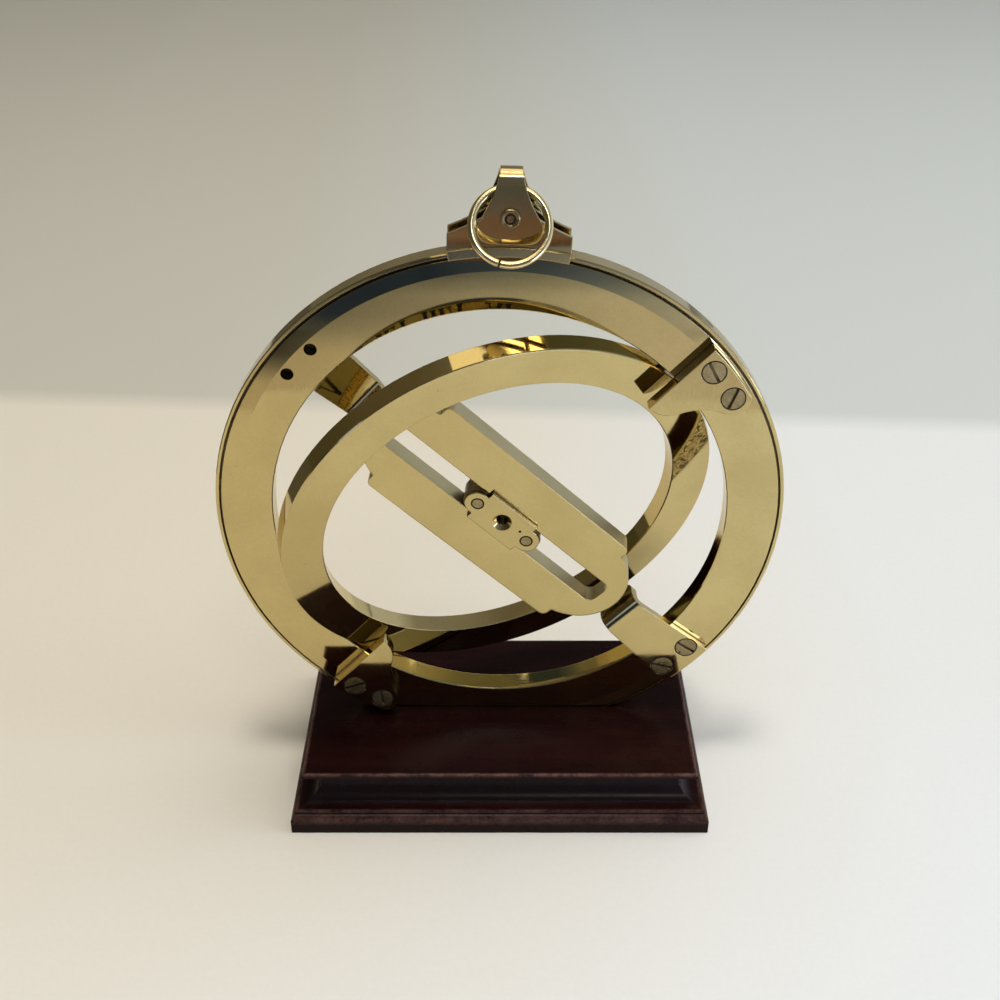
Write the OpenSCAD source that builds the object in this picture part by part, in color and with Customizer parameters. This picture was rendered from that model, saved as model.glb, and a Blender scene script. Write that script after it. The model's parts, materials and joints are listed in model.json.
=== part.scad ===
// Universal ring dial standing in a slot in a moulded plinth.
// Millimetres, +Z up. The origin lies on the plinth's underside, below the middle of the ring.
// The ring stands in the XZ plane and its front faces -Y.

/* [Plinth] */
// Width of the plinth's top
base_w = 73; // [60:1:90]
// Depth of the plinth's top, front to back
base_d = 39; // [30:1:60]
// Height of the plinth
base_h = 12.5; // [12:0.5:20]
// How far the foot stands out past the top, all round
foot_overhang = 2.5; // [1.5:0.1:5]
// Height of the foot
foot_h = 4; // [3:0.1:4.6]
// Radius along the upper edge of the foot
foot_round = 1.2; // [0.5:0.1:2]
// Width of the step from the foot in to the fillet above it
foot_step = 0.9; // [0.3:0.1:1.2]
// Height of the fillet between foot and cove
fillet_h = 0.8; // [0.4:0.1:1.2]
// Width of the ledge from the fillet in to the cove
cove_step = 0.7; // [0.3:0.1:1.2]
// Radius of the cove below the top
cove_r = 3.9; // [3:0.1:5]
// Thickness of the top's edge
top_edge_h = 1; // [0.8:0.1:1.6]
// Radius along the upper edge of the top
top_round = 0.4; // [0.2:0.1:0.6]
// Depth to which the ring stands in its slot
seat_depth = 5.4; // [3:0.1:8]
// Clearance of the ring on each side of its slot
slot_clearance = 0.15; // [0.1:0.05:0.5]
// How far the slot lies behind the middle of the plinth
slot_set = 1.2; // [0:0.1:4]

/* [Meridian ring] */
// Diameter over the rim rail
rail_d = 100; // [96:1:112]
// Radial height of the rim rail
rail_h = 0.6; // [0.4:0.1:1]
// Axial width of the rim rail
rail_w = 3.6; // [3:0.1:4]
// Radial height of the groove under the rail
groove_h = 0.45; // [0.4:0.05:0.8]
// Axial width of the neck between the grooves
neck_w = 2.2; // [2:0.1:2.6]
// Radial width, from the rail in to the bore
meridian_w = 10; // [9:0.25:12]
// Thickness
meridian_t = 4.2; // [4:0.1:6]
// Width of the outer margin that buffing has rounded off
buff_w = 2.4; // [1:0.1:3]
// Depth to which buffing has taken the face down at its outer edge
buff_drop = 0.12; // [0.05:0.01:0.3]
// Width of the broken edges of both rings
edge_break = 0.15; // [0.05:0.05:0.25]
// Distance by which the brackets stand back from the edge of the face
bracket_set = 0.3; // [0.2:0.05:0.6]
// Angle of the hour ring's axis above the horizontal
axis_angle = 47; // [30:1:60]

/* [Hour ring] */
// Radial gap between the two rings
hour_gap = 0.55; // [0.4:0.05:1]
// Radial width of the hour ring
hour_w = 7.2; // [5:0.1:8]
// Thickness of the hour ring
hour_t = 3.6; // [3:0.1:3.8]
// Angle to which the hour ring stands open
hour_open = 24; // [0:1:90]
// Diameter of its pivot pins
hour_pin_d = 1.6; // [1.2:0.1:1.8]
// Depth to which the pins enter the hour ring
hour_pin_depth = 3.4; // [2:0.1:4]

/* [Stop brackets] */
// Thickness of the stop brackets
stop_t = 2.7; // [2:0.1:4]
// Reach of the stop brackets in over the hour ring
stop_reach = 6.1; // [3:0.1:7]
// Radius of the rounded inner end
stop_tip_r = 4.9; // [4:0.1:6]
// Radius of the lobe round the outer screw
stop_lobe_r = 3.05; // [2.6:0.05:3.5]
// Radius of the hollow between tip and lobe
stop_hollow_r = 10; // [8:0.5:14]
// Gap between the stop wall and the hour ring opened square
stop_gap = 0.2; // [0.05:0.05:0.5]
// Distance from the stop wall to the inner screw
stop_screw_set = 2.9; // [2.6:0.1:3.5]
// Distance between the two screws along the wall's normal
stop_screw_pitch = 5.9; // [5:0.1:7]
// Distance of the inner screw from the outer edge of the face
stop_screw_edge = 3.15; // [2.8:0.05:3.5]
// Distance by which the outer screw stands further in
stop_screw_shift = 1.1; // [0.5:0.1:1.5]

/* [Screws] */
// Diameter of the screw heads
head_d = 3.9; // [3.4:0.1:4.2]
// Height of the countersunk heads
head_h = 1.1; // [0.8:0.1:1.2]
// Diameter of the screw shanks
shank_d = 2; // [1.6:0.1:2.4]
// Length of the stop screws' thread in the ring
thread_l = 3.6; // [2:0.1:3.8]
// Length of the bridge bracket screws' thread in the ring
crank_thread_l = 1.8; // [1.2:0.1:3]
// Width of the driver slots
driver_w = 0.5; // [0.3:0.05:0.8]
// Depth of the driver slots
driver_h = 0.45; // [0.2:0.05:0.6]
// Turns of the upper stop screws' slots from the horizontal, inner screw first
upper_slot_turns = [118, 70]; // [0:1:180]
// Turns of the lower stop screws' slots from the horizontal, inner screw first
lower_slot_turns = [20, 95]; // [0:1:180]
// Turns of the bridge bracket screws' slots from the horizontal
crank_slot_turns = [-16, -35]; // [-90:1:90]
// Gap round a head in its countersink
head_gap = 0.15; // [0.05:0.05:0.2]

/* [Bridge] */
// Gap between the bridge's tips and the inside of the hour ring
bridge_end_gap = 3.3; // [2.9:0.1:5]
// Width of the bridge
bridge_w = 22.4; // [19:0.2:26]
// Thickness of the bridge
bridge_t = 3.6; // [2.5:0.1:4]
// Radius of the bridge's rounded ends
bridge_end_r = 9.2; // [7:0.1:9.4]
// Distance of the shoulders from the tips
shoulder_set = 7.25; // [5:0.25:9]
// Radius of the shoulder corners
shoulder_r = 1.2; // [0.5:0.1:2]
// Width of the slot
slot_w = 5.2; // [4.8:0.1:6]
// Radius of the slot's corners
slot_corner_r = 1.5; // [0.5:0.1:2.4]
// Wall between the slot and the bridge's tips
slot_wall = 3.6; // [3:0.1:6]
// Turn of the bridge about the polar axis
bridge_turn = -5.5; // [-90:0.5:90]
// Diameter of the bridge's pivot pins
bridge_pin_d = 1.6; // [1.2:0.1:2]
// Depth to which the pins enter the bridge
bridge_pin_depth = 2.6; // [2:0.1:2.8]
// Diameter of the pin heads
bridge_pin_head_d = 2; // [1.8:0.1:2.2]
// Thickness of the pin heads
bridge_pin_head_h = 0.5; // [0.3:0.1:0.7]

/* [Bridge brackets] */
// Thickness of the bracket plate
crank_t = 1.4; // [1.2:0.1:2]
// Half width of the plate at the rim
crank_rim_half = 5.5; // [5.2:0.1:7]
// Half width of the plate at its inner end
crank_tab_half = 4; // [3:0.1:5]
// Inner radius of the bend
crank_bend_r = 1.2; // [0.4:0.1:1.3]
// Gap between the tab and the bridge's tip
crank_gap = 0.75; // [0.4:0.05:1]
// How far the tab runs past the pivot pin
crank_tail = 2.1; // [1.6:0.1:3]
// Radius of the tab's free corners
crank_tail_r = 1.5; // [0.5:0.1:1.6]
// Distance between the two screws
crank_screw_pitch = 6.15; // [5:0.05:7]
// Distance of the screws from the outer edge of the face
crank_screw_edge = 3.9; // [2.8:0.1:4.5]

/* [Cursor] */
// Place of the cursor along the bridge, from its middle
cursor_place = -0.8; // [-15:0.1:15]
// Distance between the rivets
rivet_pitch = 11.75; // [9:0.05:14]
// Diameter of the rivets
rivet_d = 2; // [1.5:0.1:2.4]
// Gap round a rivet's end in its plate
rivet_gap = 0.12; // [0.05:0.01:0.2]
// Radius of the plates' rounded ends
cursor_end_r = 2.3; // [2:0.1:2.4]
// Length of the wide middle of the plates
cursor_mid_l = 10.6; // [8:0.1:11]
// Width of the wide middle of the plates
cursor_mid_w = 7; // [6.2:0.1:9]
// Thickness of the plates
cursor_plate_t = 0.75; // [0.6:0.05:1.4]
// Mouth of the conical sight hole
sight_mouth_d = 3.5; // [2.5:0.1:4.5]
// Diameter of the bore behind the sight hole
sight_bore_d = 1.8; // [1.2:0.1:2.2]
// Diameter of the pinhole in the back plate
pinhole_d = 0.8; // [0.5:0.1:1]

/* [Saddle] */
// Angle of the saddle from the top of the ring
saddle_angle = -1.7; // [-30:0.1:40]
// Length of the saddle
saddle_l = 19.5; // [15:0.5:26]
// Width of the shoe that runs on the rail
shoe_w = 5; // [4.8:0.1:5.6]
// Thickness of the shoe over the rail
shoe_roof = 0.55; // [0.4:0.05:1]
// Width over the two cheeks
cheek_w = 4.3; // [4:0.1:4.4]
// Thickness of a cheek
cheek_t = 0.8; // [0.6:0.1:1]
// Height of the cheeks at their ends, above the rail
cheek_end_h = 2.35; // [2:0.05:3]
// Height of the shackle's rivet above the rail
lug_h = 5.5; // [5:0.1:6]
// Radius of the lug round the rivet
lug_r = 2.2; // [1.8:0.1:2.4]
// Radius of the hollow from the ends up to the lug
lug_hollow_r = 35; // [25:1:60]

/* [Shackle] */
// Thickness of the bent strip
strip_t = 0.5; // [0.4:0.05:0.6]
// Height of the fold's top above the rivet
fold_h = 7.2; // [6.8:0.1:9]
// Outer radius of the fold
fold_r = 2.25; // [2:0.05:2.5]
// Angle at which the legs flare from the fold
flare_angle = 10; // [6:1:14]
// Width of the strip at the fold
neck_strip_w = 3; // [2:0.1:4]
// Greatest width of the leaves
leaf_w = 10.3; // [9:0.1:10.5]
// Distance from the rivet down to the leaves' lower edge
leaf_drop = 4.2; // [3.8:0.1:4.6]
// Radius of the leaves' lower corners
leaf_corner_r = 2.4; // [1:0.1:2.8]
// Radius of the hollow from the neck down to the leaf
leaf_hollow_r = 18; // [14:0.5:24]
// Diameter of the rivet
pin_d = 1.8; // [1.4:0.1:2.2]
// Diameter of the rivet's rolled collars
collar_d = 3.2; // [2.8:0.1:4]

/* [Hanging ring] */
// Diameter of the wire
wire_d = 1.25; // [1:0.05:1.4]
// Diameter of the ring at the middle of its wire
hang_d = 11.9; // [11.8:0.1:16]
// Height at which the ring passes through the shackle, above the rivet
hang_h = 4.1; // [3.9:0.1:4.3]
// Distance of that place in front of the middle of the shackle
hang_front = 0.6; // [0.4:0.05:0.65]
// Lean of the ring against the front leaf
hang_lean = 35; // [33:0.5:40]
// Gap at the ring's split
split_gap = 0.35; // [0.1:0.05:0.6]
// Place of the split, from the ring's lowest point
split_angle = 15; // [0:1:60]

/* [Fits] */
// Radial clearance of a running pin
running_clearance = 0.05; // [0.02:0.01:0.08]
// Radial clearance of a pin that is fixed
fixed_clearance = 0.02; // [0.01:0.01:0.04]
// Clearance of a sliding piece on its guide
slide_clearance = 0.06; // [0.04:0.01:0.1]

/* [Hidden] */
$fn = 96;

brass = [0.72, 0.62, 0.38];
brass_dull = [0.55, 0.48, 0.32];
mahogany = [0.14, 0.07, 0.06];

// A length longer than the whole object, for cutting tools
far = rail_d + base_h;

// Radii of the rings
rail_r = rail_d / 2;
neck_r = rail_r - rail_h;
face_r = neck_r - groove_h;
meridian_inner_r = rail_r - meridian_w;
hour_outer_r = meridian_inner_r - hour_gap;
hour_inner_r = hour_outer_r - hour_w;
hour_pin_from = hour_outer_r - hour_pin_depth;
face_z = meridian_t / 2;
bracket_r = face_r - bracket_set;
centre_z = base_h - seat_depth + rail_r;
slot_t = meridian_t + 2 * slot_clearance;

// Stop brackets: u along the hour ring's axis, v across it
stop_v = -(hour_t / 2 + stop_gap);
stop_tip = [meridian_inner_r - stop_reach + stop_tip_r, stop_v];
stop_screw_in = [face_r - stop_screw_edge, stop_v - stop_screw_set];
stop_screw_out = stop_screw_in - [stop_screw_shift, stop_screw_pitch];
stop_screw_at = [stop_screw_in, stop_screw_out];

// Bridge and its brackets
bridge_tip = hour_inner_r - bridge_end_gap;
tab_in_r = bridge_tip + crank_gap;
tab_out_r = tab_in_r + crank_t;
crank_screw_r = face_r - crank_screw_edge;
crank_screw_at = [for (side = [-1, 1]) [crank_screw_r, side * crank_screw_pitch / 2]];
slot_end = bridge_tip - slot_wall;

// Cursor
cursor_half_t = bridge_t / 2 + slide_clearance;
cursor_block_w = slot_w - 2 * slide_clearance;

// Saddle, shackle and hanging ring, as heights above the ring's centre
shoe_r = rail_r + slide_clearance + shoe_roof;
shoe_half_angle = asin(saddle_l / 2 / shoe_r);
cheek_end_y = rail_r + cheek_end_h;
lug_y = rail_r + lug_h;
leaf_z = shoe_w / 2 + slide_clearance;
leaf_y = lug_y - leaf_drop;
leaf_corner = [leaf_w / 2 - leaf_corner_r, leaf_y + leaf_corner_r];
fold_y = lug_y + fold_h - fold_r;
hang_y = lug_y + hang_h;

// Centre of a circle of radius r that touches circles a and b from outside, on the right of a to b
function between(a, a_r, b, b_r, r) =
    let(step = b - a)
    let(apart = norm(step))
    let(along = ((a_r + r) ^ 2 - (b_r + r) ^ 2 + apart ^ 2) / (2 * apart))
    let(aside = sqrt((a_r + r) ^ 2 - along ^ 2))
    let(way = step / apart)
    a + along * way + aside * [way[1], -way[0]];

// A closed outline from the corners on one side of its middle line
function both_sides(half) =
    concat(half, [for (i = [len(half) - 1:-1:0]) [half[i][0], -half[i][1]]]);

// Frame of the dial: x along the hour ring's axis, y along the polar axis, z to the front
module dial_frame() {
    translate([0, 0, centre_z])
        rotate([90, 0, 0])
            rotate([0, 0, axis_angle])
                children();
}

// Frame of the saddle: x along the rim, y outward from the ring's centre, z to the front
module saddle_frame() {
    translate([0, 0, centre_z])
        rotate([90, 0, 0])
            rotate([0, 0, saddle_angle])
                children();
}

// Frame of the bridge: x across it, y along it, z square to it
module bridge_frame() {
    dial_frame()
        rotate([0, bridge_turn, 0])
            children();
}

// Frame of the cursor, in the middle of its block
module cursor_frame() {
    bridge_frame()
        translate([0, cursor_place, 0])
            children();
}

// Frame of a bridge bracket: x outward along the polar axis, z away from the ring's middle plane
module crank_frame(front) {
    dial_frame()
        rotate([front ? 0 : 180, 0, front ? -90 : 90])
            children();
}

module rounded_rect(w, l, r) {
    square([w - 2 * r, l], center = true);
    square([w, l - 2 * r], center = true);
    for (x = [-1, 1], y = [-1, 1])
        translate([x * (w / 2 - r), y * (l / 2 - r)])
            circle(r = r);
}

// A strip that stands on the x axis, with its upper corners rounded
module rounded_top(w, h, r) {
    translate([-w / 2, 0])
        square([w, h - r]);
    translate([r - w / 2, 0])
        square([w - 2 * r, h]);
    for (side = [-1, 1])
        translate([side * (w / 2 - r), h - r])
            circle(r = r);
}

// Countersunk screw with its head's top at z = 0
module screw(length) {
    difference() {
        union() {
            translate([0, 0, -length])
                cylinder(d = shank_d, h = length);
            translate([0, 0, -head_h])
                cylinder(d1 = shank_d, d2 = head_d, h = head_h);
        }
        translate([-head_d / 2, -driver_w / 2, -driver_h])
            cube([head_d, driver_w, head_h]);
    }
}

// Hole for such a screw
module screw_hole(length) {
    translate([0, 0, -length])
        cylinder(d = shank_d + 2 * fixed_clearance, h = length);
    translate([0, 0, -head_h])
        cylinder(d1 = shank_d + 2 * head_gap, d2 = head_d + 2 * head_gap, h = head_h);
}

module stop_screw_places() {
    for (place = stop_screw_at)
        translate([place[0], place[1], 0])
            children();
}

module crank_screw_places() {
    for (place = crank_screw_at)
        translate([place[0], place[1], 0])
            children();
}

// Section of the plinth, drawn for a top of the given width
module plinth_section(width) {
    foot_w = width + 2 * foot_overhang;
    fillet_w = foot_w - 2 * foot_step;
    fillet_top = foot_h + fillet_h;
    cove_w = fillet_w - 2 * cove_step;
    cove_top = fillet_top + cove_r;
    wall_w = cove_w - 2 * cove_r;
    edge_y = base_h - top_edge_h;
    rounded_top(foot_w, foot_h, foot_round);
    translate([-fillet_w / 2, 0])
        square([fillet_w, fillet_top]);
    difference() {
        translate([-cove_w / 2, 0])
            square([cove_w, cove_top]);
        for (side = [-1, 1])
            translate([side * cove_w / 2, cove_top])
                circle(r = cove_r);
    }
    translate([-wall_w / 2, 0])
        square([wall_w, base_h]);
    translate([0, edge_y])
        rounded_top(width, top_edge_h, top_round);
}

module base() {
    color(mahogany)
        difference() {
            translate([0, -slot_set, 0])
                intersection() {
                    rotate([90, 0, 0])
                        linear_extrude(far, center = true)
                            plinth_section(base_w);
                    rotate([90, 0, 90])
                        linear_extrude(far, center = true)
                            plinth_section(base_d);
                }
            translate([0, 0, centre_z])
                rotate([90, 0, 0])
                    cylinder(r = rail_r + running_clearance, h = slot_t, center = true);
        }
}

// Corners of the meridian ring's section on the front of its middle plane
meridian_half = [
    [meridian_inner_r, face_z - edge_break],
    [meridian_inner_r + edge_break, face_z],
    [face_r - buff_w, face_z],
    [face_r, face_z - buff_drop],
    [face_r, neck_w / 2],
    [neck_r, neck_w / 2],
    [neck_r, rail_w / 2],
    [rail_r - edge_break, rail_w / 2],
    [rail_r, rail_w / 2 - edge_break]
];

module meridian_ring() {
    color(brass)
        dial_frame()
            difference() {
                rotate_extrude()
                    polygon(both_sides(meridian_half));
                for (side = [0, 180])
                    rotate([0, 0, side])
                        rotate([0, 90, 0])
                            cylinder(d = hour_pin_d + 2 * fixed_clearance, h = far);
                for (side = [0, 1])
                    mirror([side, 0, 0])
                        stop_screw_places()
                            cylinder(d = shank_d + 2 * fixed_clearance, h = far, center = true);
                for (turn = [-90, 90])
                    rotate([0, 0, turn])
                        crank_screw_places()
                            cylinder(d = shank_d + 2 * fixed_clearance, h = far, center = true);
            }
}

module hour_ring() {
    color(brass)
        dial_frame()
            rotate([hour_open, 0, 0])
                difference() {
                    rotate_extrude()
                        polygon([
                            [hour_inner_r, edge_break - hour_t / 2],
                            [hour_inner_r + edge_break, -hour_t / 2],
                            [hour_outer_r - edge_break, -hour_t / 2],
                            [hour_outer_r, edge_break - hour_t / 2],
                            [hour_outer_r, hour_t / 2 - edge_break],
                            [hour_outer_r - edge_break, hour_t / 2],
                            [hour_inner_r + edge_break, hour_t / 2],
                            [hour_inner_r, hour_t / 2 - edge_break]
                        ]);
                    for (side = [0, 180])
                        rotate([0, 0, side])
                            translate([hour_pin_from - running_clearance, 0, 0])
                                rotate([0, 90, 0])
                                    cylinder(d = hour_pin_d + 2 * running_clearance, h = far);
                }
}

// Pivot pin of the hour ring, riveted flush with the rail
module hour_pin(side) {
    color(brass_dull)
        dial_frame()
            rotate([0, 0, side])
                translate([hour_pin_from, 0, 0])
                    rotate([0, 90, 0])
                        cylinder(d = hour_pin_d, h = rail_r - running_clearance - hour_pin_from);
}

module hour_pivot_pin_upper() {
    hour_pin(0);
}

module hour_pivot_pin_lower() {
    hour_pin(180);
}

// Plan of a stop bracket: a straight stop wall, and an ogee from its tip to the outer screw's lobe
module stop_plan() {
    hollow = between(stop_tip, stop_tip_r, stop_screw_out, stop_lobe_r, stop_hollow_r);
    intersection() {
        circle(r = bracket_r);
        translate([0, stop_v - far])
            square([far, far]);
        union() {
            translate(stop_tip)
                circle(r = stop_tip_r);
            translate(stop_screw_out)
                circle(r = stop_lobe_r);
            difference() {
                polygon([stop_tip, hollow, stop_screw_out]);
                translate(hollow)
                    circle(r = stop_hollow_r);
            }
            polygon([stop_tip, stop_screw_out, [far, stop_screw_out[1]], [far, stop_v]]);
        }
    }
}

module stop_bracket(side) {
    color(brass)
        dial_frame()
            mirror([side, 0, 0])
                translate([0, 0, face_z])
                    difference() {
                        linear_extrude(stop_t)
                            stop_plan();
                        stop_screw_places()
                            translate([0, 0, stop_t])
                                screw_hole(far);
                    }
}

module stop_bracket_upper() {
    stop_bracket(0);
}

module stop_bracket_lower() {
    stop_bracket(1);
}

module stop_screws(side, slot_turns) {
    color(brass_dull)
        dial_frame()
            for (i = [0, 1])
                translate([side * stop_screw_at[i][0], stop_screw_at[i][1], face_z + stop_t])
                    rotate([0, 0, slot_turns[i] - axis_angle])
                        screw(stop_t + thread_l);
}

module stop_screws_upper() {
    stop_screws(1, upper_slot_turns);
}

module stop_screws_lower() {
    stop_screws(-1, lower_slot_turns);
}

// Side view of a bridge bracket: plate, round bend and tab, drawn outward along x
module crank_side() {
    bend = [tab_out_r + crank_bend_r, face_z - crank_bend_r];
    translate([bend[0], face_z])
        square([far, crank_t]);
    translate([tab_in_r, -crank_tail])
        square([crank_t, bend[1] + crank_tail]);
    intersection() {
        difference() {
            translate(bend)
                circle(r = crank_bend_r + crank_t);
            translate(bend)
                circle(r = crank_bend_r);
        }
        translate([bend[0] - far, bend[1]])
            square([far, far]);
    }
}

// Plan of the same bracket, a plate that narrows towards the tab and follows the rim
module crank_plan() {
    intersection() {
        circle(r = bracket_r);
        polygon([
            [tab_in_r, -crank_tab_half],
            [tab_out_r, -crank_tab_half],
            [rail_r, -crank_rim_half],
            [rail_r, crank_rim_half],
            [tab_out_r, crank_tab_half],
            [tab_in_r, crank_tab_half]
        ]);
    }
}

// End view of the same bracket, with the tab's free corners rounded
module crank_end() {
    mirror([0, 1])
        translate([0, -far])
            rounded_top(2 * crank_tab_half, far + crank_tail, crank_tail_r);
    translate([-far, face_z])
        square([2 * far, crank_t]);
}

module bridge_bracket(front) {
    color(brass)
        crank_frame(front)
            difference() {
                intersection() {
                    rotate([90, 0, 0])
                        linear_extrude(far, center = true)
                            crank_side();
                    linear_extrude(far, center = true)
                        crank_plan();
                    rotate([90, 0, 90])
                        linear_extrude(far)
                            crank_end();
                }
                rotate([0, 90, 0])
                    cylinder(d = bridge_pin_d + 2 * fixed_clearance, h = tab_out_r + crank_bend_r);
                crank_screw_places()
                    translate([0, 0, face_z + crank_t])
                        screw_hole(far);
            }
}

module bridge_bracket_front() {
    bridge_bracket(true);
}

module bridge_bracket_rear() {
    bridge_bracket(false);
}

module bridge_screws(front) {
    color(brass_dull)
        crank_frame(front)
            for (i = [0, 1])
                translate([crank_screw_at[i][0], crank_screw_at[i][1], face_z + crank_t])
                    rotate([0, 0, 90 - axis_angle + crank_slot_turns[i]])
                        screw(crank_t + crank_thread_l);
}

module bridge_screws_front() {
    bridge_screws(true);
}

module bridge_screws_rear() {
    bridge_screws(false);
}

// Pivot pin of the bridge, headed outside the bracket's tab
module bridge_pin(front) {
    color(brass_dull)
        crank_frame(front)
            rotate([0, 90, 0]) {
                translate([0, 0, bridge_tip - bridge_pin_depth])
                    cylinder(d = bridge_pin_d, h = tab_out_r - bridge_tip + bridge_pin_depth);
                translate([0, 0, tab_out_r])
                    cylinder(d = bridge_pin_head_d, h = bridge_pin_head_h);
            }
}

module bridge_pivot_pin_front() {
    bridge_pin(true);
}

module bridge_pivot_pin_rear() {
    bridge_pin(false);
}

module bridge_plan() {
    difference() {
        union() {
            rounded_rect(bridge_w, 2 * (bridge_tip - shoulder_set), shoulder_r);
            for (end = [-1, 1])
                translate([0, end * (bridge_tip - bridge_end_r)])
                    circle(r = bridge_end_r);
        }
        rounded_rect(slot_w, 2 * slot_end, slot_corner_r);
    }
}

module bridge() {
    color(brass)
        bridge_frame()
            difference() {
                linear_extrude(bridge_t, center = true)
                    bridge_plan();
                for (turn = [-90, 90])
                    rotate([turn, 0, 0])
                        translate([0, 0, bridge_tip - bridge_pin_depth - running_clearance])
                            cylinder(d = bridge_pin_d + 2 * running_clearance, h = far);
            }
}

// A bar with round ends about the two rivets
module round_bar(w) {
    square([w, rivet_pitch], center = true);
    for (end = [-1, 1])
        translate([0, end * rivet_pitch / 2])
            circle(d = w);
}

// Plan of the cursor's plates: a wide middle and narrower rounded ends
module cursor_plan() {
    square([cursor_mid_w, cursor_mid_l], center = true);
    round_bar(2 * cursor_end_r);
}

module cursor_rivet_places() {
    for (end = [-1, 1])
        translate([0, end * rivet_pitch / 2, 0])
            children();
}

module cursor_front_plate() {
    color(brass)
        cursor_frame()
            translate([0, 0, cursor_half_t])
                difference() {
                    linear_extrude(cursor_plate_t)
                        cursor_plan();
                    cylinder(d1 = sight_bore_d, d2 = sight_mouth_d, h = cursor_plate_t);
                    cursor_rivet_places()
                        cylinder(d = rivet_d + 2 * rivet_gap, h = far, center = true);
                }
}

module cursor_block() {
    color(brass_dull)
        cursor_frame()
            difference() {
                linear_extrude(2 * cursor_half_t, center = true)
                    round_bar(cursor_block_w);
                cylinder(d = sight_bore_d, h = far, center = true);
                cursor_rivet_places()
                    cylinder(d = rivet_d + 2 * fixed_clearance, h = far, center = true);
            }
}

module cursor_back_plate() {
    color(brass)
        cursor_frame()
            translate([0, 0, -cursor_half_t - cursor_plate_t])
                difference() {
                    linear_extrude(cursor_plate_t)
                        cursor_plan();
                    cylinder(d1 = sight_bore_d, d2 = pinhole_d, h = cursor_plate_t);
                    cursor_rivet_places()
                        cylinder(d = rivet_d + 2 * rivet_gap, h = far, center = true);
                }
}

module cursor_rivets() {
    color(brass_dull)
        cursor_frame()
            cursor_rivet_places()
                cylinder(d = rivet_d, h = 2 * (cursor_half_t + cursor_plate_t), center = true);
}

// Corners of the shoe's section on one side: inside, the lip that hooks under the rail, outside
shoe_lip_z = neck_w / 2 + slide_clearance;
shoe_wall_z = rail_w / 2 + slide_clearance;
shoe_half = [
    [rail_r + slide_clearance, shoe_wall_z],
    [neck_r - slide_clearance, shoe_wall_z],
    [neck_r - slide_clearance, shoe_lip_z],
    [face_r + slide_clearance, shoe_lip_z],
    [face_r + slide_clearance, shoe_w / 2],
    [shoe_r, shoe_w / 2]
];

// Outline of a cheek: low ends that sweep up to the lug round the rivet
module cheek_plan() {
    lug = [0, lug_y];
    hollow = between([saddle_l / 2, cheek_end_y], 0, lug, lug_r, lug_hollow_r);
    difference() {
        union() {
            translate(lug)
                circle(r = lug_r);
            intersection() {
                polygon([lug, [-hollow[0], hollow[1]], [-hollow[0], 0], [hollow[0], 0], hollow]);
                square([saddle_l, 2 * lug_y], center = true);
            }
        }
        for (side = [-1, 1])
            translate([side * hollow[0], hollow[1]])
                circle(r = lug_hollow_r);
        circle(r = shoe_r - shoe_roof / 2);
    }
}

module saddle() {
    color(brass)
        saddle_frame()
            difference() {
                union() {
                    rotate([0, 0, 90 - shoe_half_angle])
                        rotate_extrude(angle = 2 * shoe_half_angle)
                            polygon(both_sides(shoe_half));
                    for (side = [0, 1])
                        mirror([0, 0, side])
                            translate([0, 0, cheek_w / 2 - cheek_t])
                                linear_extrude(cheek_t)
                                    cheek_plan();
                }
                translate([0, lug_y, 0])
                    cylinder(d = pin_d + 2 * running_clearance, h = far, center = true);
            }
}

// Side view of the shackle's bent strip, drawn as depth across and height up
module shackle_side() {
    inner_r = fold_r - strip_t;
    out_z = leaf_z + strip_t;
    knee_y = fold_y - (leaf_z - inner_r) / tan(flare_angle);
    leg = [
        [inner_r, fold_y],
        [leaf_z, knee_y],
        [leaf_z, leaf_y],
        [out_z, leaf_y],
        [out_z, knee_y],
        [fold_r, fold_y]
    ];
    intersection() {
        difference() {
            translate([0, fold_y])
                circle(r = fold_r);
            translate([0, fold_y])
                circle(r = inner_r);
        }
        translate([-far, fold_y])
            square([2 * far, far]);
    }
    polygon(leg);
    polygon([for (i = [len(leg) - 1:-1:0]) [-leg[i][0], leg[i][1]]]);
}

// Front view of the shackle: narrow neck, hollow flanks and a broad leaf with round lower corners
module shackle_plan() {
    hollow_x = neck_strip_w / 2 + leaf_hollow_r;
    reach = hollow_x - leaf_corner[0];
    hollow_y = leaf_corner[1] + sqrt((leaf_hollow_r + leaf_corner_r) ^ 2 - reach ^ 2);
    corner_l = [-leaf_corner[0], leaf_corner[1]];
    difference() {
        union() {
            for (corner = [leaf_corner, corner_l])
                translate(corner)
                    circle(r = leaf_corner_r);
            translate([corner_l[0], leaf_y])
                square([2 * leaf_corner[0], leaf_corner_r]);
            polygon([corner_l, leaf_corner, [hollow_x, hollow_y], [-hollow_x, hollow_y]]);
        }
        for (side = [-1, 1])
            translate([side * hollow_x, hollow_y])
                circle(r = leaf_hollow_r);
    }
}

module shackle() {
    color(brass)
        saddle_frame()
            difference() {
                intersection() {
                    rotate([0, -90, 0])
                        linear_extrude(far, center = true)
                            shackle_side();
                    linear_extrude(far, center = true)
                        shackle_plan();
                }
                translate([0, lug_y, 0])
                    cylinder(d = pin_d + 2 * fixed_clearance, h = far, center = true);
            }
}

// Rivet of the shackle, with a rolled collar at each end
module shackle_pin() {
    end_z = leaf_z + strip_t;
    roll_r = (collar_d - pin_d) / 4;
    roll_at = (collar_d + pin_d) / 4;
    color(brass_dull)
        saddle_frame()
            translate([0, lug_y, 0]) {
                cylinder(d = pin_d, h = 2 * (end_z + roll_r / 2), center = true);
                for (side = [0, 1])
                    mirror([0, 0, side])
                        translate([0, 0, end_z])
                            rotate_extrude()
                                intersection() {
                                    union() {
                                        translate([roll_at, 0])
                                            circle(r = roll_r);
                                        square([roll_at, roll_r / 2]);
                                    }
                                    square([collar_d, collar_d]);
                                }
            }
}

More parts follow.
